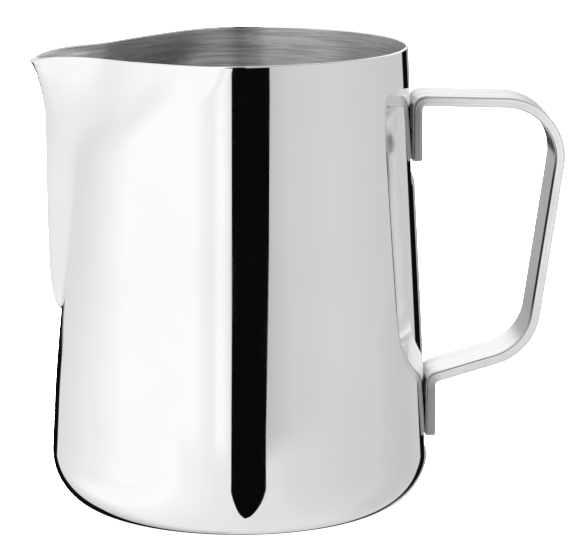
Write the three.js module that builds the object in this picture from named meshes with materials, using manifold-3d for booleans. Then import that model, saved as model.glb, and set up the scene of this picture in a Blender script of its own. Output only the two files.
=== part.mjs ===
// Milk frothing pitcher: a one-piece drawn stainless steel jug with a pressed pouring spout, and a handle bent
// from flat bar whose two tabs are resistance-welded to the wall.
//
// Millimetres, +Z up. The jug's axis is the Z axis and its base stands on z = 0. The spout points along -X and
// the handle along +X, so the object is symmetrical about the XZ plane.

import * as THREE from "three";
import { LoftGeometry } from "three/addons/geometries/LoftGeometry.js";
import { mergeVertices } from "three/addons/utils/BufferGeometryUtils.js";
import Module from "manifold-3d";

const DEGREE = Math.PI / 180;

// ---- Driving dimensions ----------------------------------------------------------------------------------

// The jug: a cone that narrows upwards, on a rounded heel.
const SHEET = 0.8; // thickness of the drawn steel
const RIM_HEIGHT = 110;
const BASE_RADIUS = 32; // flat face that the jug stands on
const HEEL_RADIUS = 13; // rounding between the base and the wall
const TAPER = 3.08 * DEGREE; // lean of the wall, which brings the rim to 39.8 mm radius

// The spout: a ridge between two flat flanks, pressed out of the wall, which flares into the lip.
const SPOUT_BOTTOM = 47.1;
const SPOUT_REACH = 45.9; // ridge to the jug's axis, up the spout's straight middle
const CHIN_HEIGHT = 2.6; // how quickly the ridge comes out of the wall
const FLANK_LEAN = 35 * DEGREE; // of each flank, from the plane that faces the same way as the spout
const RIDGE_ROUNDING = 1.5 * DEGREE; // half the width of the rounded ridge
const CREASE_SOFTNESS = 0.12; // rounding where a flank meets the wall, as a share of the ridge's height
const NOSE_ROUNDS = [78, 112]; // heights between which the flanks turn into a rounded nose
const LIP_FLARE = 2.46; // how far the lip leans out beyond the straight ridge
const LIP_FLARE_FROM = 94;
const LIP_FLARE_POWER = 1.2;
const LIP_CURL = 1.26; // how much further the last of the lip curls out
const LIP_CURL_HEIGHT = 1.65; // how quickly it does so
const LIP_DROOP = 3.4; // how far the tip lies below the rest of the rim
const LIP_ANGLE = 9.5 * DEGREE; // spread of the dip at the tip
const SIDE_DROOP = 1.3; // share of the droop that the sides of the spout have as well
const SIDE_SPREAD = 120 * DEGREE; // where the rim is level again
const NOSE_ANGLE = 17 * DEGREE; // spread of the rounded nose at the rim
const PINCH = 1.6; // how far the wall is drawn in beside the spout
const PINCH_GROWS = [25, 75]; // heights between which it comes to that
const PINCH_EDGES = [5 * DEGREE, 45 * DEGREE]; // where the drawn-in wall returns to the circle
const RIM_PINCH = 5; // the same three at the rim, which is drawn in more and further round
const RIM_PINCH_FROM = 84;
const RIM_PINCH_EDGES = [40 * DEGREE, 86 * DEGREE];
const PINCH_FADE_POWER = 1.4; // how late the wall returns to the circle between those edges

// The handle: one flat bar, bent four times.
const BAR_WIDTH = 17;
const BAR_THICKNESS = 2.5;
const BAR_EDGE = 0.4; // rounding of the bar's long edges
const GRIP_BEND = 13; // bend radii of the bar's middle plane
const TAB_BEND = 2;
const UPPER_TAB_FACE = 40.3; // inner face of each tab, from the jug's axis
const LOWER_TAB_FACE = 43.85;
const BAR_CORNERS = [
  { x: UPPER_TAB_FACE + BAR_THICKNESS / 2, z: 83.1 },
  { x: UPPER_TAB_FACE + BAR_THICKNESS / 2, z: 97.45, bend: TAB_BEND },
  { x: 77.2, z: 96.45, bend: GRIP_BEND },
  { x: 68.6, z: 37.9, bend: GRIP_BEND },
  { x: LOWER_TAB_FACE + BAR_THICKNESS / 2, z: 30.9, bend: TAB_BEND },
  { x: LOWER_TAB_FACE + BAR_THICKNESS / 2, z: 16.9 },
];

// The lands: the wall is pressed flat behind each tab, so that the flat bar lies against it.
const FIT_GAP = 0.3; // between pieces that touch
const LAND_SOFTNESS = 0.15;
const UPPER_LAND = { face: UPPER_TAB_FACE - FIT_GAP, from: 77, to: 82.5 };
const LOWER_LAND = { face: LOWER_TAB_FACE - FIT_GAP, from: 10.5, to: 16.5 };

// The welds: two nuggets of fused metal side by side at each tab, sunk in the bar.
const WELD_DIAMETER = 5;
const WELD_THICKNESS = 0.6;
const WELD_OFFSET = 4.2; // from the bar's centre line
const UPPER_WELD_HEIGHT = 87;
const LOWER_WELD_HEIGHT = 21.5;

// How finely the curved faces are divided, as bands of one step size each.
const ROUND_BANDS = [
  { to: 36, step: 4 },
  { to: 100, step: 8 },
  { to: 166, step: 11 },
  { to: 180, step: 4.667 },
]; // degrees away from the spout
const HEIGHT_BANDS = [
  { to: LOWER_LAND.to, step: 3 },
  { to: 45.5, step: 7.5 },
  { to: 52.5, step: 1.7 },
  { to: 60, step: 3.75 },
  { to: UPPER_LAND.from, step: 8.5 },
  { to: UPPER_LAND.to, step: 3 },
  { to: 92, step: 4.8 },
  { to: 110, step: 3.6 },
];
const HEEL_STEPS = 6;
const BEND_STEP = 12 * DEGREE;
const WELD_SIDES = 20;
const WELD_DOME = [1, 0.7, 0]; // shares of a weld's radius at which its domed end has a ring
const SMALLEST_STEP = 0.0001; // millimetres or radians, below which two places count as one

// ---- Small tools -----------------------------------------------------------------------------------------

const clamp = THREE.MathUtils.clamp;
const smoothstep = THREE.MathUtils.smoothstep;

// Zero below zero, the value itself above, with a rounded corner between the two.
function softPositive(value, softness) {
  return (value + Math.hypot(value, softness)) / 2;
}

// Values from start up to the last band's end, evenly spaced within each band.
function spread(start, bands) {
  const values = [start];
  for (const { to, step } of bands) {
    const from = values.at(-1);
    const count = Math.round((to - from) / step);
    for (let i = 1; i <= count; i++) values.push(from + ((to - from) * i) / count);
  }
  return values;
}

// A geometry as a manifold-3d solid, and back again.
function bareGeometry(geometry) {
  const bare = geometry.clone();
  bare.deleteAttribute("normal");
  bare.deleteAttribute("uv");
  return mergeVertices(bare, SMALLEST_STEP);
}

const wasm = await Module();
wasm.setup();

function toSolid(geometry) {
  const bare = bareGeometry(geometry);
  const vertProperties = bare.attributes.position.array;
  const triVerts = new Uint32Array(bare.index.array);
  return new wasm.Manifold(new wasm.Mesh({ numProp: 3, vertProperties, triVerts }));
}

function toGeometry(solid) {
  const { vertProperties, triVerts } = solid.getMesh();
  const geometry = new THREE.BufferGeometry();
  geometry.setAttribute("position", new THREE.BufferAttribute(vertProperties, 3));
  geometry.setIndex(new THREE.BufferAttribute(triVerts, 1));
  geometry.computeVertexNormals();
  return geometry;
}

// ---- Jug -------------------------------------------------------------------------------------------------

const HEEL_CENTRE = BASE_RADIUS; // radius of the circle on which the heel's arcs are centred
const HEEL_TOP = HEEL_RADIUS * (1 + Math.sin(TAPER));

// Radius of the plain cone, which leaves the heel's arc without a kink.
function wallRadius(z) {
  return HEEL_CENTRE + (HEEL_RADIUS - (z - HEEL_RADIUS) * Math.sin(TAPER)) / Math.cos(TAPER);
}

// How far the pressing draws the wall in beside and just under the spout.
function pinchDepth(z) {
  const wall = PINCH * smoothstep(z, ...PINCH_GROWS);
  return wall + (RIM_PINCH - PINCH) * smoothstep(z, RIM_PINCH_FROM, RIM_HEIGHT);
}

// Share of that depth at an angle away from the spout's ridge.
function pinchSides(away, z) {
  const rim = smoothstep(z, RIM_PINCH_FROM, RIM_HEIGHT);
  const near = THREE.MathUtils.lerp(PINCH_EDGES[0], RIM_PINCH_EDGES[0], rim);
  const far = THREE.MathUtils.lerp(PINCH_EDGES[1], RIM_PINCH_EDGES[1], rim);
  const returned = clamp((away - near) / (far - near), 0, 1) ** PINCH_FADE_POWER;
  return (1 + Math.cos(Math.PI * returned)) / 2;
}

// Distance of the spout's ridge from the jug's axis.
function ridgeReach(z) {
  const above = Math.max(z - SPOUT_BOTTOM, 0);
  const start = wallRadius(SPOUT_BOTTOM) - pinchDepth(SPOUT_BOTTOM);
  const chin = ((SPOUT_REACH - start) * CHIN_HEIGHT) / (above + CHIN_HEIGHT);
  const tip = RIM_HEIGHT - LIP_DROOP;
  const flare = Math.max(z - LIP_FLARE_FROM, 0) / (tip - LIP_FLARE_FROM);
  const curl = Math.exp(Math.min(z - tip, 0) / LIP_CURL_HEIGHT);
  return SPOUT_REACH - chin + LIP_FLARE * flare ** LIP_FLARE_POWER + LIP_CURL * curl;
}

// Radius of a flank of the spout, which is flat as far as it can be seen and then falls away inside the wall.
function flankRadius(away, z) {
  const rounded = Math.hypot(away, RIDGE_ROUNDING) - RIDGE_ROUNDING;
  const flat = Math.cos(FLANK_LEAN) / Math.cos(Math.min(rounded, FLANK_LEAN) - FLANK_LEAN);
  return ridgeReach(z) * (flat - Math.max(rounded - FLANK_LEAN, 0) ** 2);
}

// How far the pressed wall stands out from the cone at an angle away from the spout's ridge.
function spoutOffset(away, z) {
  const drawnIn = pinchDepth(z) * pinchSides(away, z);
  if (z <= SPOUT_BOTTOM) return -drawnIn;
  const start = wallRadius(z) - pinchDepth(z);
  const height = ridgeReach(z) - start;
  const flank = (flankRadius(away, z) - start) / height;
  const flat = softPositive(flank, CREASE_SOFTNESS) / softPositive(1, CREASE_SOFTNESS);
  const nose = Math.exp(-((away / NOSE_ANGLE) ** 2));
  return height * THREE.MathUtils.lerp(flat, nose, smoothstep(z, ...NOSE_ROUNDS)) - drawnIn;
}

// Height of the rim, which dips along the spout and most at its tip.
function rimHeight(away) {
  const sides = SIDE_DROOP * Math.cos((Math.min(away / SIDE_SPREAD, 1) * Math.PI) / 2) ** 2;
  const tip = (LIP_DROOP - SIDE_DROOP) * Math.exp(-((away / LIP_ANGLE) ** 2));
  return RIM_HEIGHT - sides - tip;
}

// The outer face: part 0 to 1 goes up the heel, 1 to 2 up the wall to the rim.
function outerPoint(turn, part) {
  const away = Math.PI - Math.abs(turn);
  const swing = -Math.PI / 2 + clamp(part, 0, 1) * (Math.PI / 2 + TAPER);
  let z = HEEL_RADIUS * (1 + Math.sin(swing));
  let radius = HEEL_CENTRE + HEEL_RADIUS * Math.cos(swing);
  if (part > 1) {
    z = HEEL_TOP + (part - 1) * (rimHeight(away) - HEEL_TOP);
    radius = wallRadius(z) + spoutOffset(away, z);
  }
  let x = radius * Math.cos(turn);
  for (const land of [UPPER_LAND, LOWER_LAND]) {
    x -= smoothstep(z, land.from, land.to) * softPositive(x - land.face, LAND_SOFTNESS);
  }
  return new THREE.Vector3(x, radius * Math.sin(turn), z);
}

// The same point moved inwards, square to the sheet, by its thickness.
function innerPoint(turn, part) {
  const lower = Math.max(part - SMALLEST_STEP, 0);
  const upper = Math.min(part + SMALLEST_STEP, 2);
  const around = outerPoint(turn + SMALLEST_STEP, part).sub(outerPoint(turn - SMALLEST_STEP, part));
  const upwards = outerPoint(turn, upper).sub(outerPoint(turn, lower));
  const outwards = around.cross(upwards).normalize();
  return outerPoint(turn, part).addScaledVector(outwards, -SHEET);
}

function makeJug() {
  const away = spread(0, ROUND_BANDS).map((angle) => angle * DEGREE);
  const half = away.map((angle) => Math.PI - angle).reverse(); // from the handle round to the spout
  const turns = [...half, ...half.slice(1, -1).reverse().map((turn) => -turn)];
  const heel = Array.from({ length: HEEL_STEPS }, (_, i) => i / HEEL_STEPS);
  const wall = spread(HEEL_TOP, HEIGHT_BANDS).map((z) => 1 + (z - HEEL_TOP) / (RIM_HEIGHT - HEEL_TOP));
  const parts = [...heel, ...wall];
  const outer = parts.map((part) => turns.map((turn) => outerPoint(turn, part)));
  const inner = parts.map((part) => turns.map((turn) => innerPoint(turn, part))).reverse();
  const floorCentre = turns.map(() => new THREE.Vector3(0, 0, SHEET));
  return new LoftGeometry([...outer, ...inner, floorCentre], { capStart: true });
}

// ---- Handle ----------------------------------------------------------------------------------------------

// The middle line of the bar between its eased ends, with a point and a sideways direction at each end of every
// straight and along each bend.
function barLine() {
  const line = [];
  const heading = (from, to) => new THREE.Vector2(to.x - from.x, to.z - from.z).normalize();
  const place = (corner, direction, distance) =>
    new THREE.Vector2(corner.x, corner.z).addScaledVector(direction, distance);
  const side = (direction) => new THREE.Vector2(-direction.y, direction.x);
  BAR_CORNERS.forEach((corner, i) => {
    const before = i > 0 ? heading(BAR_CORNERS[i - 1], corner) : heading(corner, BAR_CORNERS[1]);
    if (!corner.bend) {
      const inwards = i > 0 ? -BAR_EDGE : BAR_EDGE;
      line.push({ point: place(corner, before, inwards), side: side(before) });
      return;
    }
    const after = heading(corner, BAR_CORNERS[i + 1]);
    const angle = Math.atan2(before.cross(after), before.dot(after));
    const reach = corner.bend * Math.tan(Math.abs(angle) / 2);
    const start = place(corner, before, -reach);
    const towardsCentre = side(before).multiplyScalar(Math.sign(angle) * corner.bend);
    const centre = start.clone().add(towardsCentre);
    const steps = Math.ceil(Math.abs(angle) / BEND_STEP);
    for (let step = 0; step <= steps; step++) {
      const turned = (angle * step) / steps;
      const point = start.clone().rotateAround(centre, turned);
      line.push({ point, side: side(before).rotateAround(new THREE.Vector2(), turned) });
    }
  });
  return line;
}

// A solid cylinder lying along X.
function cylinderAlongX(radius, from, to, y, z) {
  const cylinder = new THREE.CylinderGeometry(radius, radius, to - from, WELD_SIDES);
  cylinder.rotateZ(Math.PI / 2);
  return cylinder.translate((from + to) / 2, y, z);
}

const WELDS = [
  { name: "upper_weld_front", face: UPPER_TAB_FACE, y: -WELD_OFFSET, z: UPPER_WELD_HEIGHT },
  { name: "upper_weld_back", face: UPPER_TAB_FACE, y: WELD_OFFSET, z: UPPER_WELD_HEIGHT },
  { name: "lower_weld_front", face: LOWER_TAB_FACE, y: -WELD_OFFSET, z: LOWER_WELD_HEIGHT },
  { name: "lower_weld_back", face: LOWER_TAB_FACE, y: WELD_OFFSET, z: LOWER_WELD_HEIGHT },
];

function makeHandle() {
  const line = barLine();
  const edge = (sign) =>
    line.map(({ point, side }) => point.clone().addScaledVector(side, sign * (BAR_THICKNESS / 2 - BAR_EDGE)));
  const outline = new THREE.Shape([...edge(1), ...edge(-1).reverse()]);
  const bar = new THREE.ExtrudeGeometry(outline, {
    depth: BAR_WIDTH - 2 * BAR_EDGE,
    bevelThickness: BAR_EDGE,
    bevelSize: BAR_EDGE,
    bevelSegments: 1,
  });
  bar.translate(0, 0, -(BAR_WIDTH / 2 - BAR_EDGE));
  bar.rotateX(Math.PI / 2);
  let solid = toSolid(bar);
  for (const { face, y, z } of WELDS) {
    const radius = WELD_DIAMETER / 2 + FIT_GAP;
    const floor = face + WELD_THICKNESS + FIT_GAP;
    solid = solid.subtract(toSolid(cylinderAlongX(radius, face - FIT_GAP, floor, y, z)));
  }
  return toGeometry(solid);
}

// ---- Welds -----------------------------------------------------------------------------------------------

// A nugget is a flat disc with a domed inner end, lying along X from its flat face at x = 0.
function makeWeld() {
  const radius = WELD_DIAMETER / 2;
  const dome = WELD_DOME.map((across) => {
    return new THREE.Vector2(across * radius, WELD_THICKNESS - (WELD_THICKNESS / 2) * across ** 2);
  });
  const profile = [new THREE.Vector2(0, 0), new THREE.Vector2(radius, 0), ...dome];
  const weld = new THREE.LatheGeometry(profile, WELD_SIDES);
  return weld.rotateZ(-Math.PI / 2);
}

// ---- Materials -------------------------------------------------------------------------------------------

const polishedSteel = new THREE.MeshStandardMaterial({ color: 0xdcdddf, roughness: 0.06, metalness: 1 });
const satinSteel = new THREE.MeshStandardMaterial({ color: 0xc9cacc, roughness: 0.34, metalness: 1 });
const weldMetal = new THREE.MeshStandardMaterial({ color: 0x9c9b99, roughness: 0.5, metalness: 1 });

// ---- Assembly --------------------------------------------------------------------------------------------

const pitcher = new THREE.Group();

function addPiece(name, geometry, material) {
  const mesh = new THREE.Mesh(geometry, material);
  mesh.name = name;
  pitcher.add(mesh);
  return mesh;
}

addPiece("jug_body", makeJug(), polishedSteel);
addPiece("handle_bar", makeHandle(), satinSteel);
for (const { name, face, y, z } of WELDS) {
  addPiece(name, makeWeld(), weldMetal.clone()).position.set(face, y, z);
}

export default pitcher;
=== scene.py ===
import math

import bpy
import numpy as np
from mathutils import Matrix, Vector


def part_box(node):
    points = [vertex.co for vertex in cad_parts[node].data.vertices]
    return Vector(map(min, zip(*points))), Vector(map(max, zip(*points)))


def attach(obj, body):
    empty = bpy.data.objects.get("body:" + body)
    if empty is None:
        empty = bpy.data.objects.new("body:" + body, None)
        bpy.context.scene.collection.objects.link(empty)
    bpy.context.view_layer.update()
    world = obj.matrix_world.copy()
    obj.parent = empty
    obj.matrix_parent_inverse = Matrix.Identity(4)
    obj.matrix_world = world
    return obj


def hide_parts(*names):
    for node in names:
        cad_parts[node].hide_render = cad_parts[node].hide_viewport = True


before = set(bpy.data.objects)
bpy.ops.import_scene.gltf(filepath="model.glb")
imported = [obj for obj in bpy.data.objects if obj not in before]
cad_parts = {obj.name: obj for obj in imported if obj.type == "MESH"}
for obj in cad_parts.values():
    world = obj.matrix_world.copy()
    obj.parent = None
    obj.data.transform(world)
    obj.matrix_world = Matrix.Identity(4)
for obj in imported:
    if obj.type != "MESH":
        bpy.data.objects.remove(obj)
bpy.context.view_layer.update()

# Lengths below are in millimetres and angles in degrees unless they say otherwise; meshes are made in metres.
MM = 0.001

# ---- The jug's form ---------------------------------------------------------------------------------------

SHEET = 0.8
BASE_RADIUS = 32
HEEL_RADIUS = 13
TAPER = math.radians(3.08)
# The ridge of the spout: its lowest point, its distance from the axis, and how high its chin is.
SPOUT_BOTTOM = 47.1
SPOUT_REACH = 45.9
CHIN_HEIGHT = 2.6
# The flat flanks beside the ridge lean back by this, and turn into a round nose near the rim.
FLANK_LEAN = math.radians(35)
RIDGE_ROUNDING = math.radians(1.5)
CREASE_SOFTNESS = 0.12
NOSE_ROUNDS = (78, 112)
# The lip flares and curls outwards, and its tip and the rim beside it droop below the rim's highest point.
LIP_FLARE = 2.46
LIP_FLARE_FROM = 94
LIP_FLARE_POWER = 1.2
LIP_CURL = 1.26
LIP_CURL_HEIGHT = 1.65
LIP_DROOP = 3.4
LIP_ANGLE = math.radians(9.5)
SIDE_DROOP = 1.3
SIDE_SPREAD = math.radians(120)
NOSE_ANGLE = math.radians(17)
# The wall is drawn in beside the spout, and the rim more so and further round.
PINCH = 1.6
PINCH_GROWS = (25, 75)
PINCH_EDGES = (math.radians(5), math.radians(45))
RIM_PINCH = 5
RIM_PINCH_FROM = 84
RIM_PINCH_EDGES = (math.radians(40), math.radians(86))
PINCH_FADE_POWER = 1.4
# Flat lands are pressed in the wall behind the tabs, as (distance from the axis, start, end of their fade).
FIT_GAP = 0.3
LAND_SOFTNESS = 0.15

RIM_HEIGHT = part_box("jug_body")[1].z / MM
UPPER_TAB_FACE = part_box("upper_weld_front")[0].x / MM
LOWER_TAB_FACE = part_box("lower_weld_front")[0].x / MM
LANDS = (
    (UPPER_TAB_FACE - FIT_GAP, 77, 82.5),
    (LOWER_TAB_FACE - FIT_GAP, 10.5, 16.5),
)
HEEL_TOP = HEEL_RADIUS * (1 + math.sin(TAPER))
SMALL = 1e-4

# The jug's mesh in bands of even (end, step): round the jug from the spout in degrees, and up the wall.
AWAY_BANDS = ((42, 0.6), (100, 1.6), (160, 2.1), (180, 0.65))
WALL_BANDS = (
    (15, 0.5), (17, 0.6), (46, 1.8), (53, 0.3), (76, 1.2), (84, 0.6), (94, 1.0), (RIM_HEIGHT, 0.55),
)
HEEL_STEPS = 20
RIM_STEPS = 12
# The wall's last ring stays this many lip radii below the rim, which leaves room for the rounded edge.
LIP_ROOM = 1.3
# The inner face needs fewer rings than the mirror-bright outer one.
INNER_RING_STEP = 2
# Rings of the base and the floor, as shares of their outer radius.
FLOOR_RINGS = (0.25, 0.5, 0.75, 0.92)
# The scale of the maps round the jug and along the bar, and how far a map reaches in to a middle point.
MAP_SCALE = 0.01
MAP_FAN = 0.1


def soft_positive(value, softness):
    return (value + np.hypot(value, softness)) / 2


def smoothstep(value, low, high):
    share = np.clip((value - low) / (high - low), 0, 1)
    return share * share * (3 - 2 * share)


def lerp(low, high, share):
    return low + (high - low) * share


def wall_radius(z):
    return BASE_RADIUS + (HEEL_RADIUS - (z - HEEL_RADIUS) * math.sin(TAPER)) / math.cos(TAPER)


def pinch_depth(z):
    wall = PINCH * smoothstep(z, *PINCH_GROWS)
    return wall + (RIM_PINCH - PINCH) * smoothstep(z, RIM_PINCH_FROM, RIM_HEIGHT)


def pinch_sides(away, z):
    rim = smoothstep(z, RIM_PINCH_FROM, RIM_HEIGHT)
    near = lerp(PINCH_EDGES[0], RIM_PINCH_EDGES[0], rim)
    far = lerp(PINCH_EDGES[1], RIM_PINCH_EDGES[1], rim)
    returned = np.clip((away - near) / (far - near), 0, 1) ** PINCH_FADE_POWER
    return (1 + np.cos(math.pi * returned)) / 2


def ridge_reach(z):
    above = np.maximum(z - SPOUT_BOTTOM, 0)
    start = wall_radius(SPOUT_BOTTOM) - pinch_depth(SPOUT_BOTTOM)
    chin = (SPOUT_REACH - start) * CHIN_HEIGHT / (above + CHIN_HEIGHT)
    tip = RIM_HEIGHT - LIP_DROOP
    flare = np.maximum(z - LIP_FLARE_FROM, 0) / (tip - LIP_FLARE_FROM)
    curl = np.exp(np.minimum(z - tip, 0) / LIP_CURL_HEIGHT)
    return SPOUT_REACH - chin + LIP_FLARE * flare**LIP_FLARE_POWER + LIP_CURL * curl


def flank_radius(away, z):
    rounded = np.hypot(away, RIDGE_ROUNDING) - RIDGE_ROUNDING
    flat = math.cos(FLANK_LEAN) / np.cos(np.minimum(rounded, FLANK_LEAN) - FLANK_LEAN)
    return ridge_reach(z) * (flat - np.maximum(rounded - FLANK_LEAN, 0) ** 2)


def spout_offset(away, z):
    drawn_in = pinch_depth(z) * pinch_sides(away, z)
    start = wall_radius(z) - pinch_depth(z)
    height = np.maximum(ridge_reach(z) - start, SMALL)
    flank = (flank_radius(away, z) - start) / height
    flat = soft_positive(flank, CREASE_SOFTNESS) / soft_positive(1, CREASE_SOFTNESS)
    nose = np.exp(-((away / NOSE_ANGLE) ** 2))
    offset = height * lerp(flat, nose, smoothstep(z, *NOSE_ROUNDS)) - drawn_in
    return np.where(z <= SPOUT_BOTTOM, -drawn_in, offset)


def rim_height(away):
    sides = SIDE_DROOP * np.cos(np.minimum(away / SIDE_SPREAD, 1) * math.pi / 2) ** 2
    tip = (LIP_DROOP - SIDE_DROOP) * np.exp(-((away / LIP_ANGLE) ** 2))
    return RIM_HEIGHT - sides - tip


def outer_point(turn, part):
    """The outer face: part 0 to 1 goes up the heel, 1 to 2 up the wall to the rim."""
    turn, part = np.broadcast_arrays(np.asarray(turn, float), np.asarray(part, float))
    away = math.pi - np.abs(turn)
    swing = -math.pi / 2 + np.clip(part, 0, 1) * (math.pi / 2 + TAPER)
    heel_z = HEEL_RADIUS * (1 + np.sin(swing))
    wall_z = HEEL_TOP + (part - 1) * (rim_height(away) - HEEL_TOP)
    z = np.where(part > 1, wall_z, heel_z)
    heel_radius = BASE_RADIUS + HEEL_RADIUS * np.cos(swing)
    radius = np.where(part > 1, wall_radius(z) + spout_offset(away, z), heel_radius)
    x = radius * np.cos(turn)
    for face, start, end in LANDS:
        x = x - smoothstep(z, start, end) * soft_positive(x - face, LAND_SOFTNESS)
    return np.stack([x, radius * np.sin(turn), z], -1)


def unit(vectors):
    return vectors / np.linalg.norm(vectors, axis=-1, keepdims=True)


def outer_directions(turn, part):
    """Unit vectors square to the outer face and up along it."""
    around = outer_point(turn + SMALL, part) - outer_point(turn - SMALL, part)
    upwards = outer_point(turn, np.minimum(part + SMALL, 2)) - outer_point(turn, np.maximum(part - SMALL, 0))
    return unit(np.cross(around, upwards)), unit(upwards)


def spread(start, bands):
    """Values from start up to the last band's end, evenly spaced within each (end, step) band."""
    values = [start]
    for end, step in bands:
        count = max(1, round((end - values[-1]) / step))
        values += list(np.linspace(values[-1], end, count + 1)[1:])
    return np.array(values)


def jug_rings():
    """Points and directions of the jug, ring by ring, in five parts: base, outside, rim, inside and floor."""
    away = np.radians(spread(0, AWAY_BANDS))
    half = (math.pi - away)[::-1]
    turns = np.concatenate([half, -half[-2:0:-1]])[None, :]
    heel = np.linspace(0, 1, HEEL_STEPS + 1)[:-1]
    wall = 1 + (spread(HEEL_TOP, WALL_BANDS) - HEEL_TOP) / (RIM_HEIGHT - HEEL_TOP)
    parts = np.concatenate([heel, wall[:-1]])[:, None]
    points = outer_point(turns, parts)
    normals, _ = outer_directions(turns, parts)

    lip = SHEET / 2
    top = outer_point(turns, 2.0)
    top_normal, top_upwards = outer_directions(turns, 2.0)
    keep = (points[..., 2] < top[..., 2] - lip * LIP_ROOM).all(axis=1)
    points, normals = points[keep], normals[keep]
    bow = np.radians(np.linspace(0, 180, RIM_STEPS + 1))[:, None, None]
    rim_normals = np.cos(bow) * top_normal + np.sin(bow) * top_upwards
    rim_points = top - lip * (top_normal + top_upwards) + lip * rim_normals

    inner = np.unique(np.r_[0 : len(points) : INNER_RING_STEP, len(points) - 1])[::-1]
    inner_points = points[inner] - SHEET * normals[inner]

    shares = np.array(FLOOR_RINGS)[:, None, None]
    base_points = points[:1] * shares
    base_normals = np.broadcast_to([0.0, 0.0, -1.0], base_points.shape)
    floor_points = inner_points[-1:] * shares[::-1]
    floor_points[..., 2] = SHEET
    rings = [base_points, points, rim_points, inner_points, floor_points]
    directions = [base_normals, normals, rim_normals, -normals[inner], -base_normals]
    return rings, directions


def new_object(name, vertices, faces, normals=None):
    mesh = bpy.data.meshes.new(name)
    mesh.from_pydata(vertices.tolist(), [], faces)
    mesh.update()
    mesh.shade_smooth()
    if normals is not None:
        mesh.normals_split_custom_set_from_vertices(normals.tolist())
    made = bpy.data.objects.new(name, mesh)
    bpy.context.scene.collection.objects.link(made)
    return made


def ring_faces(rings, count):
    """Quads between neighbouring rings of a closed tube."""
    i = np.arange(rings - 1)[:, None] * count
    j = np.arange(count)[None, :]
    k = (j + 1) % count
    return np.stack([i + j, i + k, i + count + k, i + count + j], -1).reshape(-1, 4)


def map_corners(*corners):
    """The map's values at the corners of many faces, from a (round, along) pair of arrays for each corner."""
    pairs = [np.stack(np.broadcast_arrays(*corner), -1) for corner in corners]
    return np.stack(pairs, -2).reshape(-1, 2)


def map_round(points, count):
    """A map of the jug's faces whose first direction runs round it."""
    along = np.linalg.norm(np.diff(points, axis=0), axis=-1).mean(axis=1)
    height = np.concatenate([[0], np.cumsum(along)]) * MAP_SCALE
    start = np.arange(count) / count
    end = (np.arange(count) + 1) / count
    low, high = height[:-1, None], height[1:, None]
    top = height[-1]
    quads = map_corners((start, low), (end, low), (end, high), (start, high))
    base_fan = map_corners((start, -MAP_FAN), (end, 0), (start, 0))
    floor_fan = map_corners((start, top), (end, top), (start, top + MAP_FAN))
    return np.concatenate([quads, base_fan, floor_fan])


def make_jug():
    rings, directions = jug_rings()
    points = np.concatenate(rings)
    normals = np.concatenate(directions)
    total, count = points.shape[:2]
    first, last = total * count, total * count + 1
    j = np.arange(count)
    k = (j + 1) % count
    top_ring = (total - 1) * count
    base_fan = np.stack([np.full(count, first), k, j], -1)
    floor_fan = np.stack([top_ring + j, top_ring + k, np.full(count, last)], -1)
    vertices = np.concatenate([points.reshape(-1, 3), [[0, 0, 0], [0, 0, SHEET]]]) * MM
    all_normals = np.concatenate([normals.reshape(-1, 3), [[0, 0, -1], [0, 0, 1]]])
    all_faces = ring_faces(total, count).tolist() + base_fan.tolist() + floor_fan.tolist()
    jug = new_object("jug", vertices, all_faces, all_normals)
    # Which material each band of faces has: 0 outside, 1 inside and underneath.
    base, outer, rim = len(rings[0]), len(rings[1]), len(rings[2])
    band = np.zeros(total - 1, int)
    band[:base] = 1
    band[base + outer + rim - 1 :] = 1
    index = np.concatenate([np.repeat(band, count), np.ones(2 * count, int)])
    jug.data.polygons.foreach_set("material_index", index.astype(np.int32))
    layer = jug.data.uv_layers.new(name="round")
    layer.data.foreach_set("uv", map_round(points, count).ravel())
    return jug


# ---- The handle -------------------------------------------------------------------------------------------

BAR_WIDTH = (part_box("handle_bar")[1].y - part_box("handle_bar")[0].y) / MM
BAR_THICKNESS = 2.5
BAR_EDGE = 0.4
GRIP_BEND = 13
TAB_BEND = 2
UPPER_TAB_MIDDLE = UPPER_TAB_FACE + BAR_THICKNESS / 2
LOWER_TAB_MIDDLE = LOWER_TAB_FACE + BAR_THICKNESS / 2
BAR_CORNERS = (
    (UPPER_TAB_MIDDLE, 83.1, 0),
    (UPPER_TAB_MIDDLE, 97.45, TAB_BEND),
    (77.2, 96.45, GRIP_BEND),
    (68.6, 37.9, GRIP_BEND),
    (LOWER_TAB_MIDDLE, 30.9, TAB_BEND),
    (LOWER_TAB_MIDDLE, 16.9, 0),
)
TAB_CORNER = 0.9
DIMPLE_RADIUS = 3.0
DIMPLE_FLOOR_RADIUS = 0.72 * DIMPLE_RADIUS
DIMPLE_DEPTH = 0.18
# The bar's mesh: degrees of a bend or length of a straight in one step, and points on parts of the section.
BEND_STEP = 3
STRAIGHT_STEP = 0.6
END_POINTS = 10
FACE_POINTS = 35
SIDE_POINTS = 5
ARC_POINTS = 5
# Clear length past each rounded end, in corner radii, and the largest edge, as a share of half the thickness.
END_ROOM = 1.2
LARGEST_EDGE = 0.95
# The bar counts as upright, and so as a tab, where its outward direction rises less than this.
UPRIGHT = 0.05
# The place in the section of the near corner of the face towards the jug.
INNER_CORNER = 2 * FACE_POINTS + SIDE_POINTS + 2 * ARC_POINTS + ARC_POINTS // 2
WELD_NODES = ("upper_weld_front", "upper_weld_back", "lower_weld_front", "lower_weld_back")


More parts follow.
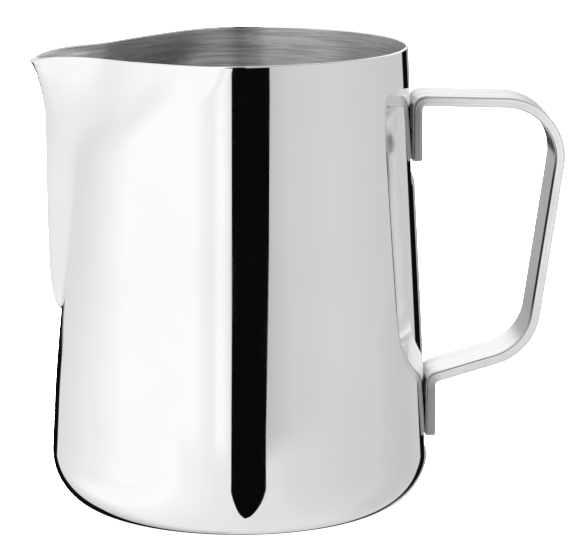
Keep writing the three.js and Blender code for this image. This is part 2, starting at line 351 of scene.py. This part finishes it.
def bar_line():
    """Points and tangents along the bar's middle line, from the upper tab's end to the lower one's."""
    corners = [np.array(corner[:2], float) for corner in BAR_CORNERS]
    bends = [corner[2] for corner in BAR_CORNERS]
    points, tangents = [corners[0]], [unit(corners[1] - corners[0])]
    for i in range(1, len(corners) - 1):
        before = unit(corners[i] - corners[i - 1])
        after = unit(corners[i + 1] - corners[i])
        angle = math.atan2(before[0] * after[1] - before[1] * after[0], float(before @ after))
        reach = bends[i] * math.tan(abs(angle) / 2)
        start = corners[i] - before * reach
        side = np.array([-before[1], before[0]]) * math.copysign(bends[i], angle)
        centre = start + side
        steps = math.ceil(abs(math.degrees(angle)) / BEND_STEP)
        for step in range(steps + 1):
            turned = angle * step / steps
            cosine, sine = math.cos(turned), math.sin(turned)
            spin = np.array([[cosine, -sine], [sine, cosine]])
            points.append(centre + spin @ (start - centre))
            tangents.append(spin @ before)
    points.append(corners[-1])
    tangents.append(unit(corners[-1] - corners[-2]))
    return np.array(points), np.array(tangents)


def densify(points, tangents, step):
    """The same line with the straights divided into steps."""
    out_points, out_tangents = [points[0]], [tangents[0]]
    for i in range(1, len(points)):
        gap = np.linalg.norm(points[i] - points[i - 1])
        count = max(1, math.ceil(gap / step))
        for n in range(1, count + 1):
            share = n / count
            out_points.append(lerp(points[i - 1], points[i], share))
            out_tangents.append(unit(lerp(tangents[i - 1], tangents[i], share)))
    return np.array(out_points), np.array(out_tangents)


def bar_section(half_thickness, half_width, edge):
    """The outline of the bar's cross-section, as (across the thickness, across the width)."""
    face = np.linspace(-1, 1, FACE_POINTS) * (half_width - edge)
    side = np.linspace(1, -1, SIDE_POINTS) * (half_thickness - edge)
    arc = np.radians(np.linspace(0, 90, ARC_POINTS + 2))[1:-1]
    a, b = half_thickness - edge, half_width - edge
    corner = [(a + edge * math.cos(t), b + edge * math.sin(t)) for t in arc]
    outline = [(half_thickness, w) for w in face]
    outline += corner
    outline += [(n, half_width) for n in side]
    outline += [(-n, w) for n, w in corner[::-1]]
    outline += [(-half_thickness, w) for w in face[::-1]]
    outline += [(-n, -w) for n, w in corner]
    outline += [(n, -half_width) for n in side[::-1]]
    outline += [(n, -w) for n, w in corner[::-1]]
    return np.array(outline)


def rounded_end(distance, radius):
    """How much a side has drawn in at a distance from the end that it rounds off to."""
    short = np.maximum(radius - distance, 0)
    return radius - np.sqrt(radius**2 - short**2)


def lengths_along(points):
    """How far along the line each of its points is."""
    return np.concatenate([[0], np.cumsum(np.linalg.norm(np.diff(points, axis=0), axis=1))])


def bar_stations():
    """Lengths along the bar, closer together where its ends round off, with the place and heading at each."""
    points, tangents = densify(*bar_line(), STRAIGHT_STEP)
    length = lengths_along(points)
    total = length[-1]
    near_end = TAB_CORNER * (1 - np.cos(np.radians(np.linspace(0, 90, END_POINTS))))
    inner = (length > TAB_CORNER * END_ROOM) & (length < total - TAB_CORNER * END_ROOM)
    stations = np.concatenate([near_end, length[inner], total - near_end[::-1]])
    places = np.stack([np.interp(stations, length, points[:, c]) for c in (0, 1)], -1)
    headings = unit(np.stack([np.interp(stations, length, tangents[:, c]) for c in (0, 1)], -1))
    return stations, places, headings


def dimple(ring, middle, centres):
    """How deep the welding electrodes have pressed the tab's free side at each point of a ring."""
    depth = np.zeros(len(ring))
    for x, y, z in centres:
        if abs(middle - x) < DIMPLE_RADIUS:
            away = np.hypot(ring[:, 1] - y, ring[:, 2] - z)
            depth += DIMPLE_DEPTH * (1 - smoothstep(away, DIMPLE_FLOOR_RADIUS, DIMPLE_RADIUS))
    return depth


def map_along(bar, stations, rings, count):
    """Maps the bar, first along it. Returns the map's length and the inner corner's place across it."""
    u = stations * MAP_SCALE
    v = lengths_along(bar_section(1, BAR_WIDTH / 2, BAR_EDGE)) * MAP_SCALE
    uv = np.stack([np.repeat(u, count), np.tile(v, rings)], -1)
    index = np.zeros(len(bar.data.loops), np.int32)
    bar.data.loops.foreach_get("vertex_index", index)
    layer = bar.data.uv_layers.new(name="along")
    layer.data.foreach_set("uv", uv[index].ravel())
    return u[-1], v[INNER_CORNER]


def make_handle():
    stations, places, headings = bar_stations()
    outwards = np.stack([-headings[:, 1], headings[:, 0]], -1)
    from_end = np.minimum(stations, stations[-1] - stations)
    half_thickness = BAR_THICKNESS / 2 - rounded_end(from_end, BAR_EDGE)
    half_width = BAR_WIDTH / 2 - rounded_end(from_end, TAB_CORNER)
    centres = [[(low + high) / 2 / MM for low, high in zip(*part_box(node))] for node in WELD_NODES]
    rings = []
    for place, out, h, w in zip(places, outwards, half_thickness, half_width):
        section = bar_section(h, w, min(BAR_EDGE, h * LARGEST_EDGE))
        ring = np.zeros((len(section), 3))
        ring[:, 0] = place[0] + out[0] * section[:, 0]
        ring[:, 1] = section[:, 1]
        ring[:, 2] = place[1] + out[1] * section[:, 0]
        if abs(out[1]) < UPRIGHT:
            ring[:, 0] -= np.where(section[:, 0] < 0, dimple(ring, place[0], centres), 0)
        rings.append(ring)
    rings = np.array(rings)
    total, count = rings.shape[:2]
    faces = ring_faces(total, count)[:, ::-1].tolist()
    start_cap = list(range(count))
    end_cap = list(range((total - 1) * count, total * count))[::-1]
    bar = new_object("handle", rings.reshape(-1, 3) * MM, faces + [start_cap, end_cap])
    return bar, *map_along(bar, stations, total, count)


# ---- The welds --------------------------------------------------------------------------------------------

WELD_RADIUS = 2.5
WELD_SIDES = 48
# The nugget's section, as (distance out from the tab's face, share of the radius).
WELD_PROFILE = (
    (-0.42, 0.0), (-0.42, 0.7), (-0.4, 0.9), (-0.3, 0.97), (-0.15, 0.93), (0, 0.96), (0.2, 0.9), (0.3, 0.7),
    (0.34, 0.0),
)
# The nugget's edge is uneven by these shares of its radius, in 3 long waves and 7 short ones.
LONG_WAVE = 0.025
SHORT_WAVE = 0.015


def make_weld(node):
    """A flattened nugget that bridges the gap between the wall and the tab."""
    low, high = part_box(node)
    centre = (low + high) / 2 / MM
    face = low.x / MM
    turn = np.arange(WELD_SIDES) * 2 * math.pi / WELD_SIDES
    wobble = 1 + LONG_WAVE * np.sin(3 * turn + centre.z) + SHORT_WAVE * np.sin(7 * turn + centre.y)
    rings = []
    for x, share in WELD_PROFILE[1:-1]:
        r = WELD_RADIUS * share * wobble
        y, z = centre.y + r * np.cos(turn), centre.z + r * np.sin(turn)
        rings.append(np.stack([np.full(WELD_SIDES, face + x), y, z], -1))
    middles = [[face + x, centre.y, centre.z] for x, _ in (WELD_PROFILE[0], WELD_PROFILE[-1])]
    vertices = np.concatenate([np.concatenate(rings), middles])
    faces = ring_faces(len(rings), WELD_SIDES).tolist()
    first, last = len(rings) * WELD_SIDES, len(rings) * WELD_SIDES + 1
    top_ring = first - WELD_SIDES
    for j in range(WELD_SIDES):
        k = (j + 1) % WELD_SIDES
        faces.append([first, k, j])
        faces.append([top_ring + j, top_ring + k, last])
    return new_object(node.replace("weld", "nugget"), vertices * MM, faces)


# ---- Shader nodes -----------------------------------------------------------------------------------------


class Nodes:
    """A shader node tree. A value is a number, a tuple or another node's output."""

    def __init__(self, tree):
        self.tree = tree
        tree.nodes.clear()

    def add(self, kind, **settings):
        node = self.tree.nodes.new(kind)
        for name, value in settings.items():
            setattr(node, name, value)
        return node

    def feed(self, socket, value):
        if isinstance(value, bpy.types.NodeSocket):
            self.tree.links.new(value, socket)
        else:
            socket.default_value = value

    def math(self, operation, *values):
        node = self.add("ShaderNodeMath", operation=operation)
        for socket, value in zip(node.inputs, values):
            self.feed(socket, value)
        return node.outputs[0]

    def total(self, *values):
        result = values[0]
        for value in values[1:]:
            result = self.math("ADD", result, value)
        return result

    def product(self, *values):
        result = values[0]
        for value in values[1:]:
            result = self.math("MULTIPLY", result, value)
        return result

    def difference(self, value, taken):
        return self.math("SUBTRACT", value, taken)

    def length(self, *sides):
        return self.math("SQRT", self.total(*(self.math("MULTIPLY", side, side) for side in sides)))

    def split(self, vector):
        node = self.add("ShaderNodeSeparateXYZ")
        self.feed(node.inputs[0], vector)
        return node.outputs

    def combine(self, *values):
        node = self.add("ShaderNodeCombineXYZ")
        for socket, value in zip(node.inputs, values):
            self.feed(socket, value)
        return node.outputs[0]

    def ramp(self, value, start, end, low=0.0, high=1.0, kind="SMOOTHSTEP"):
        """Low up to start, high from end on, and a soft passage between."""
        node = self.add("ShaderNodeMapRange", interpolation_type=kind)
        inputs = {"Value": value, "From Min": start, "From Max": end, "To Min": low, "To Max": high}
        for name, given in inputs.items():
            self.feed(node.inputs[name], given)
        return node.outputs["Result"]

    def mix(self, share, low, high):
        node = self.add("ShaderNodeMix", data_type="RGBA")
        self.feed(node.inputs["Factor"], share)
        self.feed(node.inputs["A"], low if isinstance(low, bpy.types.NodeSocket) else (*low, 1))
        self.feed(node.inputs["B"], high if isinstance(high, bpy.types.NodeSocket) else (*high, 1))
        return node.outputs["Result"]

    def between(self, value, start, end, soft):
        """One inside the range, zero outside, with soft edges."""
        rises = self.ramp(value, start - soft, start + soft)
        return self.product(rises, self.ramp(value, end - soft, end + soft, 1.0, 0.0))

    def blend(self, share, low, high):
        """A number between low and high."""
        node = self.add("ShaderNodeMix", data_type="FLOAT")
        self.feed(node.inputs["Factor"], share)
        self.feed(node.inputs["A"], low)
        self.feed(node.inputs["B"], high)
        return node.outputs["Result"]

    def noise(self, vector, scale, detail=2.0, roughness=0.5):
        node = self.add("ShaderNodeTexNoise")
        self.feed(node.inputs["Vector"], vector)
        for name, given in (("Scale", scale), ("Detail", detail), ("Roughness", roughness)):
            self.feed(node.inputs[name], given)
        return node.outputs["Fac"]

    def stretch(self, vector, scale):
        node = self.add("ShaderNodeMapping")
        self.feed(node.inputs["Vector"], vector)
        self.feed(node.inputs["Scale"], scale)
        return node.outputs["Vector"]

    def bump(self, height, distance, strength=1.0, normal=None):
        node = self.add("ShaderNodeBump")
        self.feed(node.inputs["Height"], height)
        self.feed(node.inputs["Distance"], distance)
        self.feed(node.inputs["Strength"], strength)
        if normal is not None:
            self.feed(node.inputs["Normal"], normal)
        return node.outputs["Normal"]


def new_material(name):
    material = bpy.data.materials.new(name)
    material.use_nodes = True
    nodes = Nodes(material.node_tree)
    shader = nodes.add("ShaderNodeBsdfPrincipled")
    output = nodes.add("ShaderNodeOutputMaterial")
    nodes.tree.links.new(shader.outputs["BSDF"], output.inputs["Surface"])
    return material, nodes, shader


def new_metal(name):
    material, nodes, shader = new_material(name)
    shader.inputs["Metallic"].default_value = 1.0
    return material, nodes, shader


def brush(nodes, shader, map_name, strength):
    """Draws reflections out across the brushing, which runs along the map's first direction."""
    shader.inputs["Anisotropic"].default_value = strength
    shader.inputs["Anisotropic Rotation"].default_value = 0.25
    tangent = nodes.add("ShaderNodeTangent", direction_type="UV_MAP", uv_map=map_name)
    nodes.feed(shader.inputs["Tangent"], tangent.outputs["Tangent"])


def object_place(nodes):
    return nodes.add("ShaderNodeTexCoord").outputs["Object"]


# Noise settings are (scale, detail, roughness) and heights of bumps are in metres.
POLISHED = (0.872, 0.876, 0.88)
POLISHED_HAZY = (0.85, 0.853, 0.858)
SMUDGES = (32.0, 4.0, 0.6)
SWELL_STRETCH = (1.0, 1.0, 0.45)
SWELL_SCALE = 38.0
SWELL_HEIGHT = 0.00004
POLISHING_STRETCH = (60.0, 60.0, 2600.0)
POLISHING_HEIGHT = 0.0000004


def polished_steel():
    material, nodes, shader = new_metal("polished_steel")
    place = object_place(nodes)
    haze = nodes.ramp(nodes.noise(place, *SMUDGES), 0.42, 0.75)
    nodes.feed(shader.inputs["Base Color"], nodes.mix(haze, POLISHED, POLISHED_HAZY))
    nodes.feed(shader.inputs["Roughness"], nodes.blend(haze, 0.025, 0.05))
    # A drawn and polished wall is never quite even.
    swell = nodes.noise(nodes.stretch(place, SWELL_STRETCH), SWELL_SCALE, 1.0)
    lines = nodes.noise(nodes.stretch(place, POLISHING_STRETCH), 1.0, 2.0)
    wavy = nodes.bump(swell, SWELL_HEIGHT, 0.5)
    nodes.feed(shader.inputs["Normal"], nodes.bump(lines, POLISHING_HEIGHT, 0.3, wavy))
    return material


BRUSHED_DARK = (0.6, 0.6, 0.61)
BRUSHED_LIGHT = (1.0, 1.0, 1.0)
# Scales of the brushing, as (along it, across it), and how much of the pattern each makes up.
FINE_BRUSHING = (70.0, 2600.0)
COARSE_BRUSHING = (34.0, 900.0)
FINE_SHARE = 0.7
# The heights between which the rounded corner turns the wall into the floor, in metres.
FLOOR_CORNER = (0.003, 0.014)
BRUSHING_HEIGHT = 0.00001


def brushed_steel_inside():
    material, nodes, shader = new_metal("brushed_steel_inside")
    x, y, z = nodes.split(object_place(nodes))
    # Across the brushing: up the wall, and outwards on the floor.
    across = nodes.total(z, nodes.product(nodes.length(x, y), nodes.ramp(z, *FLOOR_CORNER, 1.0, 0.0)))

    def lines(along_scale, across_scale, *detail):
        axes = ((x, along_scale), (y, along_scale), (across, across_scale))
        return nodes.noise(nodes.combine(*(nodes.product(*axis) for axis in axes)), 1.0, *detail)

    fine = lines(*FINE_BRUSHING, 4.0, 0.65)
    coarse = lines(*COARSE_BRUSHING, 3.0, 0.6)
    streak = nodes.total(nodes.product(fine, FINE_SHARE), nodes.product(coarse, 1 - FINE_SHARE))
    tone = nodes.ramp(streak, 0.42, 0.58, kind="LINEAR")
    nodes.feed(shader.inputs["Base Color"], nodes.mix(tone, BRUSHED_DARK, BRUSHED_LIGHT))
    nodes.feed(shader.inputs["Roughness"], nodes.blend(tone, 0.34, 0.27))
    brush(nodes, shader, "round", 1.0)
    nodes.feed(shader.inputs["Normal"], nodes.bump(streak, BRUSHING_HEIGHT, 0.5))
    return material


SATIN_DARK = (0.74, 0.745, 0.75)
SATIN_LIGHT = (0.86, 0.863, 0.866)
# Painted shade on the tabs: the dark colour mixed in towards their ends, and how strongly it is mixed.
TAB_PAINTED_SHADE = (0.28, 0.275, 0.27)
TAB_SHADE_STRENGTH = 0.85
# Painted reflection: the colour of the dark line along the bar's inner corner.
PAINTED_CORNER_REFLECTION = (0.04, 0.04, 0.04)
# Lengths on the bar's map, where 1 is 100 mm. The tabs' painted shade fades between two distances from their
# ends.
TAB_ENDS = (0.13, 0.2)
# The painted reflection along the inner corner: its edges across the bar, and where it starts and stops along
# it.
LINE_EDGES = (0.0032, 0.0046)
LINE_STARTS = (0.45, 0.6)
LINE_STOPS = (0.5, 0.35)
FINE_GRINDING = (2.2, 110.0, 1.0)
BROAD_GRINDING = (7.0, 30.0, 1.0)
GRINDING_SHARE = 0.65


def satin_steel(length, corner):
    """Ground steel for a bar of this length whose inner corner is at this place, both on its map."""
    material, nodes, shader = new_metal("satin_steel")
    where = nodes.add("ShaderNodeUVMap", uv_map="along").outputs["UV"]
    u, v, _ = nodes.split(where)
    fine = nodes.noise(nodes.stretch(where, FINE_GRINDING), 1.0, 4.0, 0.65)
    broad = nodes.noise(nodes.stretch(where, BROAD_GRINDING), 1.0, 3.0, 0.6)
    grain = nodes.total(nodes.product(fine, GRINDING_SHARE), nodes.product(broad, 1 - GRINDING_SHARE))
    tone = nodes.ramp(grain, 0.36, 0.66, kind="LINEAR")
    colour = nodes.mix(tone, SATIN_DARK, SATIN_LIGHT)
    # Painted shade: the tabs are darker towards their ends, with an uneven edge.
    from_end = nodes.math("MINIMUM", u, nodes.difference(length, u))
    tab_shade = nodes.ramp(nodes.total(from_end, nodes.product(broad, 0.05)), *TAB_ENDS, 1.0, 0.0)
    colour = nodes.mix(nodes.product(tab_shade, TAB_SHADE_STRENGTH), colour, TAB_PAINTED_SHADE)
    # Painted reflection: a dark line along the near inner corner of the bar, where the rounded corner mirrors
    # something dark.
    line = nodes.ramp(nodes.math("ABSOLUTE", nodes.difference(v, corner)), *LINE_EDGES, 1.0, 0.0)
    starts = nodes.ramp(u, *LINE_STARTS)
    stops = nodes.ramp(u, length - LINE_STOPS[0], length - LINE_STOPS[1], 1.0, 0.0)
    colour = nodes.mix(nodes.product(line, nodes.product(starts, stops)), colour, PAINTED_CORNER_REFLECTION)
    nodes.feed(shader.inputs["Base Color"], colour)
    nodes.feed(shader.inputs["Roughness"], nodes.blend(tone, 0.24, 0.16))
    brush(nodes, shader, "along", 0.5)
    nodes.feed(shader.inputs["Normal"], nodes.bump(grain, BRUSHING_HEIGHT, 0.35))
    return material


WELD_STRAW = (0.42, 0.38, 0.31)
WELD_GREY = (0.6, 0.58, 0.54)
WELD_MOTTLE = (900.0, 4.0, 0.6)
WELD_BUMPS = 0.00005


def weld_metal():
    material, nodes, shader = new_metal("weld_metal")
    mottle = nodes.noise(object_place(nodes), *WELD_MOTTLE)
    nodes.feed(shader.inputs["Base Color"], nodes.mix(nodes.ramp(mottle, 0.35, 0.65), WELD_STRAW, WELD_GREY))
    nodes.feed(shader.inputs["Roughness"], nodes.blend(mottle, 0.4, 0.65))
    nodes.feed(shader.inputs["Normal"], nodes.bump(mottle, WELD_BUMPS, 0.6))
    return material


# ---- Pieces -----------------------------------------------------------------------------------------------

jug = make_jug()
jug.data.materials.append(polished_steel())
jug.data.materials.append(brushed_steel_inside())
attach(jug, "root")
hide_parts("jug_body")

handle, handle_length, inner_corner = make_handle()
handle.data.materials.append(satin_steel(handle_length, inner_corner))
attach(handle, "root")
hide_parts("handle_bar")

weld_look = weld_metal()
for node in WELD_NODES:
    nugget = make_weld(node)
    nugget.data.materials.append(weld_look)
    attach(nugget, "root")
    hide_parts(node)

# ---- Camera -----------------------------------------------------------------------------------------------

# Distances are in metres, and the azimuths are measured from straight in front of the jug.
CAMERA_DISTANCE = 0.78207
CAMERA_HEIGHT = 0.2040
CAMERA_AZIMUTH = math.radians(-1.5)
LOOK_AZIMUTH = math.radians(-2.445)
LOOK_DOWN = math.radians(10.886)
CAMERA_LENS = 204.6
CLIP_START = 0.05
CLIP_END = 50

camera_data = bpy.data.cameras.new("camera")
camera_data.lens = CAMERA_LENS
camera_data.clip_start = CLIP_START
camera_data.clip_end = CLIP_END
camera = bpy.data.objects.new("camera", camera_data)
bpy.context.scene.collection.objects.link(camera)
camera.location = (
    CAMERA_DISTANCE * math.sin(CAMERA_AZIMUTH),
    -CAMERA_DISTANCE * math.cos(CAMERA_AZIMUTH),
    CAMERA_HEIGHT,
)
looking = Vector((
    -math.sin(LOOK_AZIMUTH) * math.cos(LOOK_DOWN),
    math.cos(LOOK_AZIMUTH) * math.cos(LOOK_DOWN),
    -math.sin(LOOK_DOWN),
))
camera.rotation_mode = "QUATERNION"
camera.rotation_quaternion = looking.to_track_quat("-Z", "Y")
bpy.context.scene.camera = camera

# ---- Studio -----------------------------------------------------------------------------------------------

# The studio is brightness by direction, as the polished steel mirrors it. Azimuth 0 is towards the front, and
# positive to the right; 180 is straight behind the jug. Pairs are (azimuth, brightness) above the table.
AROUND = (
    (-180, 0.80), (-150, 0.80), (-130, 0.86), (-110, 0.95), (-96, 1.0), (-88, 1.05), (-78, 1.10), (-29, 1.10),
    (-23.5, 1.0), (-18, 0.99), (-15.5, 1.08), (-12, 1.10), (-9.5, 1.0), (-7.5, 0.93), (-5.5, 0.5), (3, 0.5),
    (5, 0.64), (12, 0.58), (19, 0.615), (24, 0.655), (31, 0.70), (60, 0.74), (75, 0.725), (95, 0.69),
    (130, 0.655), (180, 0.655),
)
# Pairs are (sideways direction, brightness) on the table, from -1 at the left to 1 at the right.
ALONG_TABLE = (
    (-1.0, 1.06), (-0.68, 1.11), (-0.58, 1.04), (-0.40, 0.98), (-0.22, 0.92), (-0.1, 0.91), (0.1, 0.85),
    (0.33, 0.85), (0.5, 0.795), (0.75, 0.76), (1.0, 0.70),
)
PEAK = 1.25

# Each of these says where a change starts and ends, in degrees, and then from what to what it goes.
TABLE_DIM_LEFT = (-165.0, -115.0, 0.62, 1.0)
TABLE_DIM_RIGHT = (90.0, 120.0, 1.0, 0.85)
UNDER_THE_JUG = (-62.0, -42.0)
TABLE_EDGE_DROP = (-95.0, -55.0, 4.6, 0.0)
TABLE_EDGE_SOFT_FROM = (-95.0, -55.0, -26.0, -8.1)
TABLE_EDGE = -7.4
ABOVE_FLAGS = (3.0, 8.0)
FRONT_PATCH = (-15.0, -11.0, 0.52, 1.15)
CLOTH_RIGHT = (110.0, 150.0)
CLOTH_LEFT = (-168.0, -148.0, 1.0, 0.0)
OVERHEAD = (25.0, 60.0)
OVERHEAD_SIDES = (-20.0, -10.0, 1.1, 0.6)

# Each of these is the start, the end and the softness of a range of directions.
FRONT_PATCH_AZIMUTH = (1.0, 12.0, 2.0)
FRONT_PATCH_ELEVATION = (-18.0, 0.0, 2.0)
GAP_AZIMUTH = (-19.0, 3.0, 1.0)
GAP_ELEVATION = (7.0, 9.0)

GREY_BEHIND = 0.42
CLOTH = 1.15
GAP = 0.01
FLAG = 0.004

# The jug's outline mirrors what is straight behind it at this elevation. Further in, the mirrored direction
# turns away from there, sideways on the wall and also downwards on the heel. The slant of that turn is 0 when
# it goes sideways and 90 when it goes downwards.
OUTLINE_ELEVATION = -13.0
GREY_TURN = (20.0, 23.0)
# How the flags' edges, as turns, change with the slant.
RIGHT_FLAG_STARTS = (40.0, 75.0, 22.5, 4.0)
RIGHT_FLAG_ENDS = (10.0, 80.0, 37.5, 19.0)
RIGHT_FLAG_TOP = (0.0, 6.0)
RIGHT_FLAG_SOFT = 0.7
LEFT_FLAG_WIDENS = (0.0, 45.0, 27.0, 35.0)
LEFT_FLAG_NARROWS = (45.0, 90.0, 35.0, 20.0)
LEFT_FLAG_TOP = (-10.1, -9.1)
LEFT_FLAG_SOFT = 1.0


def light_by(nodes, value, low, high, stops):
    """Brightness that follows the stops, which are (value, brightness) pairs between low and high."""
    ramp = nodes.add("ShaderNodeValToRGB")
    elements = ramp.color_ramp.elements
    while len(elements) < len(stops):
        elements.new(0.5)
    for element, (place, brightness) in zip(elements, stops):
        element.position = (place - low) / (high - low)
        element.color = (brightness / PEAK,) * 3 + (1,)
    nodes.feed(ramp.inputs["Fac"], nodes.ramp(value, low, high, kind="LINEAR"))
    return nodes.product(ramp.outputs["Color"], PEAK)


def table_and_tent(nodes, x, azimuth, elevation):
    """The lit table below its edge, and the white tent above it."""
    around = light_by(nodes, azimuth, -180, 180, AROUND)
    table = light_by(nodes, x, -1, 1, ALONG_TABLE)
    # The far side of the table is dimmer, apart from the patch under the jug.
    left_dim = nodes.ramp(azimuth, *TABLE_DIM_LEFT, "LINEAR")
    dim = nodes.product(left_dim, nodes.ramp(azimuth, *TABLE_DIM_RIGHT, "LINEAR"))
    dim = nodes.blend(nodes.ramp(elevation, *UNDER_THE_JUG), 1.0, dim)
    # The edge of the table lies lower and is softer on the left.
    edge = nodes.total(elevation, nodes.ramp(azimuth, *TABLE_EDGE_DROP, "LINEAR"))
    lowest = nodes.ramp(azimuth, *TABLE_EDGE_SOFT_FROM, "LINEAR")
    return nodes.blend(nodes.ramp(edge, lowest, TABLE_EDGE, 1.0, 0.0), around, nodes.product(table, dim))


def add_flags(nodes, light, azimuth, elevation, turn, slant):
    """Dark flags behind the jug, left and right, that draw its outline."""

    def inside(edge, soft, low, high):
        return nodes.ramp(nodes.difference(turn, edge), -soft, soft, low, high)

    right_start = nodes.ramp(slant, *RIGHT_FLAG_STARTS, "LINEAR")
    right_end = nodes.ramp(slant, *RIGHT_FLAG_ENDS, "LINEAR")
    right = nodes.product(
        inside(right_start, RIGHT_FLAG_SOFT, 0.0, 1.0),
        inside(right_end, RIGHT_FLAG_SOFT, 1.0, 0.0),
        nodes.ramp(azimuth, -1.0, 1.0),
        nodes.ramp(elevation, *RIGHT_FLAG_TOP, 1.0, 0.0),
    )
    widens = nodes.ramp(slant, *LEFT_FLAG_WIDENS, "LINEAR")
    left_end = nodes.math("MINIMUM", widens, nodes.ramp(slant, *LEFT_FLAG_NARROWS, "LINEAR"))
    left = nodes.product(
        inside(left_end, LEFT_FLAG_SOFT, 1.0, 0.0),
        nodes.ramp(azimuth, -1.0, 1.0, 1.0, 0.0),
        nodes.ramp(elevation, *LEFT_FLAG_TOP, 1.0, 0.0),
    )
    return nodes.blend(left, nodes.blend(right, light, FLAG), FLAG)


def studio_light(nodes, direction):
    x, y, z = nodes.split(direction)
    azimuth = nodes.math("DEGREES", nodes.math("ARCTAN2", x, nodes.product(y, -1.0)))
    elevation = nodes.math("DEGREES", nodes.math("ARCSINE", z))
    sideways = nodes.difference(180.0, nodes.math("ABSOLUTE", azimuth))
    below = nodes.math("MAXIMUM", nodes.difference(OUTLINE_ELEVATION, elevation), 0.0)
    turn = nodes.length(sideways, below)
    slant = nodes.math("DEGREES", nodes.math("ARCTAN2", below, sideways))

    light = table_and_tent(nodes, x, azimuth, elevation)
    # Grey straight behind the jug, and a patch in front that the handle's near edge mirrors.
    below_cloth = nodes.ramp(elevation, *ABOVE_FLAGS, 1.0, 0.0)
    behind = nodes.product(nodes.ramp(turn, *GREY_TURN, 1.0, 0.0), below_cloth)
    light = nodes.blend(behind, light, GREY_BEHIND)
    in_front = nodes.between(azimuth, *FRONT_PATCH_AZIMUTH)
    front = nodes.product(in_front, nodes.between(elevation, *FRONT_PATCH_ELEVATION))
    light = nodes.blend(front, light, nodes.ramp(elevation, *FRONT_PATCH, "LINEAR"))
    # The white cloth behind the jug, above the flags.
    cloth = nodes.math("MAXIMUM", nodes.ramp(azimuth, *CLOTH_RIGHT), nodes.ramp(azimuth, *CLOTH_LEFT))
    light = nodes.blend(nodes.product(nodes.ramp(elevation, *ABOVE_FLAGS), cloth), light, CLOTH)
    # The dark gap above the front of the tent, which the inside of the jug mirrors.
    gap = nodes.product(nodes.between(azimuth, *GAP_AZIMUTH), nodes.ramp(elevation, *GAP_ELEVATION))
    light = nodes.blend(gap, light, GAP)
    light = add_flags(nodes, light, azimuth, elevation, turn, slant)
    # Less light from above than from the sides.
    overhead = nodes.ramp(azimuth, *OVERHEAD_SIDES)
    return nodes.product(light, nodes.ramp(elevation, *OVERHEAD, 1.0, overhead))


def studio_world():
    """The studio for reflections, and plain white behind the object."""
    world = bpy.data.worlds.new("studio")
    world.use_nodes = True
    nodes = Nodes(world.node_tree)
    light = studio_light(nodes, nodes.add("ShaderNodeTexCoord").outputs["Generated"])
    seen = nodes.add("ShaderNodeLightPath").outputs["Is Camera Ray"]
    background = nodes.add("ShaderNodeBackground")
    nodes.feed(background.inputs["Color"], (1.0, 1.0, 1.0, 1.0))
    nodes.feed(background.inputs["Strength"], nodes.blend(seen, light, 1.0))
    output = nodes.add("ShaderNodeOutputWorld")
    nodes.tree.links.new(background.outputs[0], output.inputs["Surface"])
    bpy.context.scene.world = world


def stage_sheet(name, corners, material):
    """A flat sheet of the studio, which isn't part of the object."""
    mesh = bpy.data.meshes.new(name)
    mesh.from_pydata(corners, [], [tuple(range(len(corners)))])
    mesh.materials.append(material)
    sheet = bpy.data.objects.new(name, mesh)
    bpy.context.scene.collection.objects.link(sheet)
    return sheet


# The black card in front of the jug, seen only in what it mirrors. It tapers to a point far below the table.
CARD_AT = -195
CARD_OUTLINE = (
    (-20.5, 130), (-20.5, 40), (-22.7, -20), (-17, -120), (-8, -310), (14, -600),
    (28, -420), (34, -165), (39.5, -40), (42, 6), (52, 55), (55, 78), (58, 100), (58, 130),
)
CARD_BLACK = (0.003, 0.003, 0.003, 1.0)


def black_card():
    material = bpy.data.materials.new("black_card")
    material.use_nodes = True
    nodes = Nodes(material.node_tree)
    dull = nodes.add("ShaderNodeEmission")
    nodes.feed(dull.inputs["Color"], CARD_BLACK)
    output = nodes.add("ShaderNodeOutputMaterial")
    nodes.tree.links.new(dull.outputs[0], output.inputs["Surface"])
    card = stage_sheet("black_card", [(x * MM, CARD_AT * MM, z * MM) for x, z in CARD_OUTLINE], material)
    card.visible_camera = False
    card.visible_diffuse = False
    card.visible_shadow = False


# Lengths of the floor and the lamp are in metres and the lamp's power is in watts.
FLOOR_SIZE = 12
FLOOR_DROP = 0.0002
PAPER_LIGHT = (0.9, 0.9, 0.9)
PAPER_DARK = (0.88, 0.88, 0.88)
PAPER_GLOW = 0.85
LAMP_SIZE = 4
LAMP_HEIGHT = 2.5
LAMP_POWER = 700


def paper_floor():
    material, nodes, shader = new_material("floor")
    colour = nodes.mix(nodes.noise(object_place(nodes), 3.0), PAPER_LIGHT, PAPER_DARK)
    nodes.feed(shader.inputs["Base Color"], colour)
    nodes.feed(shader.inputs["Emission Color"], colour)
    shader.inputs["Emission Strength"].default_value = PAPER_GLOW
    shader.inputs["Roughness"].default_value = 1.0
    shader.inputs["Specular IOR Level"].default_value = 0.0
    half = FLOOR_SIZE / 2
    corners = [(-half, -half, 0), (half, -half, 0), (half, half, 0), (-half, half, 0)]
    floor = stage_sheet("floor", corners, material)
    floor.location.z = -FLOOR_DROP
    floor.visible_glossy = False


def overhead_lamp():
    lamp_data = bpy.data.lights.new("overhead", "AREA")
    lamp_data.shape = "DISK"
    lamp_data.size = LAMP_SIZE
    lamp_data.energy = LAMP_POWER
    lamp = bpy.data.objects.new("overhead", lamp_data)
    bpy.context.scene.collection.objects.link(lamp)
    lamp.location = (0, 0, LAMP_HEIGHT)
    lamp.visible_glossy = False
    lamp.visible_camera = False


studio_world()
black_card()
paper_floor()
overhead_lamp()
bpy.context.scene.view_settings.view_transform = "Standard"
